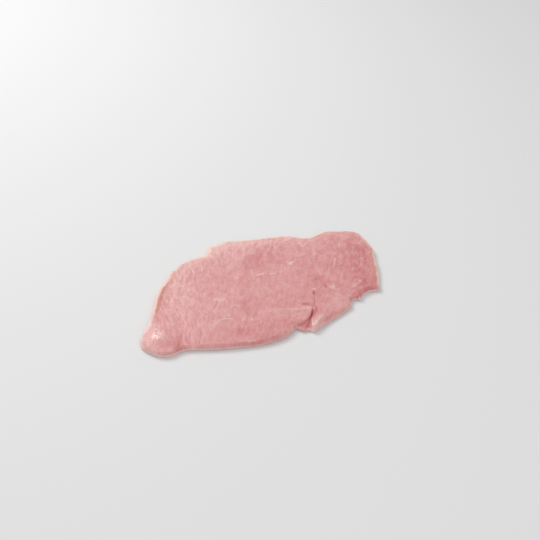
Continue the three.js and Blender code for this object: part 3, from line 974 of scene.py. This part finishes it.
# What lies over the pale pink, from the deeper pink, which also carries painted shade and light, up to the
# painted shadow in the dips of the crumb.
VEAL_LAYERS = {
    # deeper pink, with painted shade and painted light along the knife's side and in some hollows
    "depth": "#d48484",
    "tallow": "#c87b69",
    # painted shade in the tear, its creases, pits and nicks
    "tear_shade": "#c86264",
    # cream sinew, and painted highlights on crests and flecks
    "sinew": "#f9dcd4",
    # a painted highlight along the foot of the cut side and round the tip
    "rim_highlight": "#f6dad7",
    "skin_rim": "#fadacc",
    "crumb_shadow": "#8a524f",
}
BUNDLE_WIDTH = 2.8  # mm from one bundle of fibres to the next
BUNDLE_LENGTH = 7.0
BUNDLE_SWING = 0.22  # how far the pink shifts between deep and pale from bundle to bundle
BUNDLE_RISE = 0.7  # against a rise of 1 for the crumb
SINEW_RISE = 0.4
CRUMB_SIZE = 1.5  # mm between the cut ends of fibres, drawn coarser than they are so that they show
CRUMB_SWING = 0.03
CRUMB_SHADOW = 0.12  # how much shadow the dips between them hold
CRUMB_DIPS = (0.3, 0.55)
NOISE_SPAN = (0.3, 0.7)  # most values of a noise texture lie between these
DRY_ROUGHNESS, WET_ROUGHNESS = 0.5, 0.25
CRUMB_GLOSS = (0.75, 1.1)  # how the crumb's dips and tops change the roughness
FILM = (0.2, 0.7)  # the coat of juice on the driest and the wettest meat


def raw_veal():
    """Raw veal, cut across the muscle by a sharp knife and left moist.

    The cut gives a soft satin sheen that breaks up on the ends of the fibre bundles. Thin cream
    sinew runs between the bundles. Light sinks a few millimetres into the pale pink flesh.
    """
    # The colour also carries painted shade in the tear, its creases and along the knife's side, and painted
    # highlights on the crests, the tip and the foot of the cut side.
    material, tree = empty_material("raw_veal")

    shares = {}
    for name in ("coarse", "pink_depth_and_shading", "tallow", "tear_shade", "sinew", "rim_highlight", "skin_rim", "wet"):
        shares[name] = add_node(tree, "ShaderNodeAttribute", {"attribute_name": name}).outputs["Fac"]
    grain_mm = add_node(tree, "ShaderNodeAttribute", {"attribute_name": "grain_mm"}).outputs["Vector"]
    along_fibres = add_node(tree, "ShaderNodeMapping", Vector=grain_mm,
                            Scale=(1 / BUNDLE_WIDTH, 1 / BUNDLE_LENGTH, 1 / BUNDLE_WIDTH)).outputs[0]
    bundles = add_node(tree, "ShaderNodeTexNoise", Vector=along_fibres, Scale=1.0, Detail=2.0,
                       Roughness=0.55).outputs[0]
    crumb = add_node(tree, "ShaderNodeTexNoise", Vector=grain_mm, Scale=1 / CRUMB_SIZE, Detail=3.0,
                     Roughness=0.6).outputs[0]

    # What each ramp reads, the values it runs between, and what it gives at either end.
    ramps = {
        "bundle_shift": (bundles, NOISE_SPAN, (BUNDLE_SWING, -BUNDLE_SWING)),
        "crumb_shift": (crumb, NOISE_SPAN, (CRUMB_SWING, -CRUMB_SWING)),
        "crumb_shadow": (crumb, CRUMB_DIPS, (CRUMB_SHADOW, 0.0)),
        "crumb_gloss": (crumb, NOISE_SPAN, CRUMB_GLOSS),
        "dryness": (shares["wet"], (0.1, 0.9), (DRY_ROUGHNESS, WET_ROUGHNESS)),
        "film": (shares["wet"], (0.2, 0.9), FILM),
    }
    for name, (value, (low, high), (at_low, at_high)) in ramps.items():
        ramp = add_node(tree, "ShaderNodeMapRange", {"interpolation_type": "SMOOTHSTEP"}, Value=value,
                        From_Min=low, From_Max=high, To_Min=at_low, To_Max=at_high)
        shares[name] = ramp.outputs[0]

    by_bundle = add_node(tree, "ShaderNodeMath", {"operation": "MULTIPLY_ADD"}, _0=shares["coarse"],
                         _1=shares["bundle_shift"], _2=shares["pink_depth_and_shading"])
    by_crumb = add_node(tree, "ShaderNodeMath", {"operation": "ADD"}, _0=by_bundle.outputs[0],
                        _1=shares["crumb_shift"])
    shares["depth"] = by_crumb.outputs[0]
    flesh = colour(VEAL_PALE)
    for name, hex_code in VEAL_LAYERS.items():
        layer = add_node(tree, "ShaderNodeMix", {"data_type": "RGBA"}, _0=shares[name], _6=flesh,
                         _7=colour(hex_code))
        flesh = layer.outputs[2]
    roughness = add_node(tree, "ShaderNodeMath", {"operation": "MULTIPLY"}, _0=shares["dryness"],
                         _1=shares["crumb_gloss"])

    proud = add_node(tree, "ShaderNodeMath", {"operation": "MULTIPLY"}, _0=bundles, _1=shares["coarse"])
    rise = add_node(tree, "ShaderNodeMath", {"operation": "MULTIPLY_ADD"}, _0=proud.outputs[0],
                    _1=BUNDLE_RISE, _2=crumb)
    rise = add_node(tree, "ShaderNodeMath", {"operation": "MULTIPLY_ADD"}, _0=shares["sinew"],
                    _1=SINEW_RISE, _2=rise.outputs[0])
    bump = add_node(tree, "ShaderNodeBump", Strength=0.75, Distance=0.0003, Height=rise.outputs[0])

    shader = add_node(
        tree, "ShaderNodeBsdfPrincipled", Base_Color=flesh, Roughness=roughness.outputs[0], IOR=1.38,
        Subsurface_Weight=0.35, Subsurface_Radius=(1.0, 0.5, 0.42), Subsurface_Scale=0.0018,
        Coat_Weight=shares["film"], Coat_Roughness=0.2, Normal=bump.outputs[0], Coat_Normal=bump.outputs[0])
    add_node(tree, "ShaderNodeOutputMaterial", Surface=shader.outputs["BSDF"])
    return material


def matt_white_paint():
    """Matt white paint, rolled on smooth: it stays plain, and takes the slice's soft shadow."""
    material, tree = empty_material("matt_white_paint")
    shader = add_node(tree, "ShaderNodeBsdfPrincipled", Base_Color=colour("#ebebeb"), Roughness=0.8)
    add_node(tree, "ShaderNodeOutputMaterial", Surface=shader.outputs["BSDF"])
    return material


# ---------------------------------------------------------------- stage, lights and camera, in metres

CAMERA_PLACE = Vector((-0.0618, -0.4250, 0.4077))
CAMERA_AZIMUTH = -9.0
CAMERA_PITCH = 42.0
CAMERA_VIEW_ANGLE = 40.0
FLOOR_HALF = 3.0
FLOOR_DROP = 0.0002  # keeps the floor clear of the face that the slice rests on
ROOM_LIGHT = 0.5


def add_object(name, data):
    made = bpy.data.objects.new(name, data)
    bpy.context.scene.collection.objects.link(made)
    return made


def look(made, place, target):
    made.location = place
    made.rotation_euler = (Vector(target) - Vector(place)).to_track_quat("-Z", "Y").to_euler()


def add_camera():
    turn, pitch = math.radians(-CAMERA_AZIMUTH), math.radians(CAMERA_PITCH)
    way = Vector((math.sin(turn) * math.cos(pitch), math.cos(turn) * math.cos(pitch), -math.sin(pitch)))
    data = bpy.data.cameras.new("camera")
    data.sensor_fit = "HORIZONTAL"
    data.angle = math.radians(CAMERA_VIEW_ANGLE)
    data.clip_start = 0.01
    camera = add_object("camera", data)
    look(camera, CAMERA_PLACE, CAMERA_PLACE + way)
    bpy.context.scene.camera = camera


def add_softbox(name, place, size, power):
    data = bpy.data.lights.new(name, "AREA")
    data.shape = "SQUARE"
    data.size = size
    data.energy = power
    look(add_object(name, data), place, (0, 0, 0))


def add_floor():
    mesh = bpy.data.meshes.new("floor")
    corners = [(x * FLOOR_HALF, y * FLOOR_HALF, -FLOOR_DROP) for x, y in ((-1, -1), (1, -1), (1, 1), (-1, 1))]
    mesh.from_pydata(corners, [], [range(4)])
    mesh.materials.append(matt_white_paint())
    floor = add_object("floor", mesh)


def light_the_room():
    world = bpy.data.worlds.new("soft_room")
    world.use_nodes = True
    background = world.node_tree.nodes["Background"]
    background.inputs["Color"].default_value = colour("#ffffff")
    background.inputs["Strength"].default_value = ROOM_LIGHT
    bpy.context.scene.world = world
    add_softbox("back_left_softbox", place=(-0.55, 0.75, 0.95), size=0.6, power=8.0)
    add_softbox("front_fill", place=(0.3, -0.9, 0.9), size=1.2, power=3.5)
    bpy.context.scene.view_settings.view_transform = "Standard"


# ---------------------------------------------------------------- the whole scene

def add_escalope():
    mesh = slice_mesh()
    mesh.materials.append(raw_veal())
    meat = add_object("escalope_meat", mesh)
    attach(meat, "root")
    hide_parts("escalope")


add_camera()
light_the_room()
add_floor()
add_escalope()
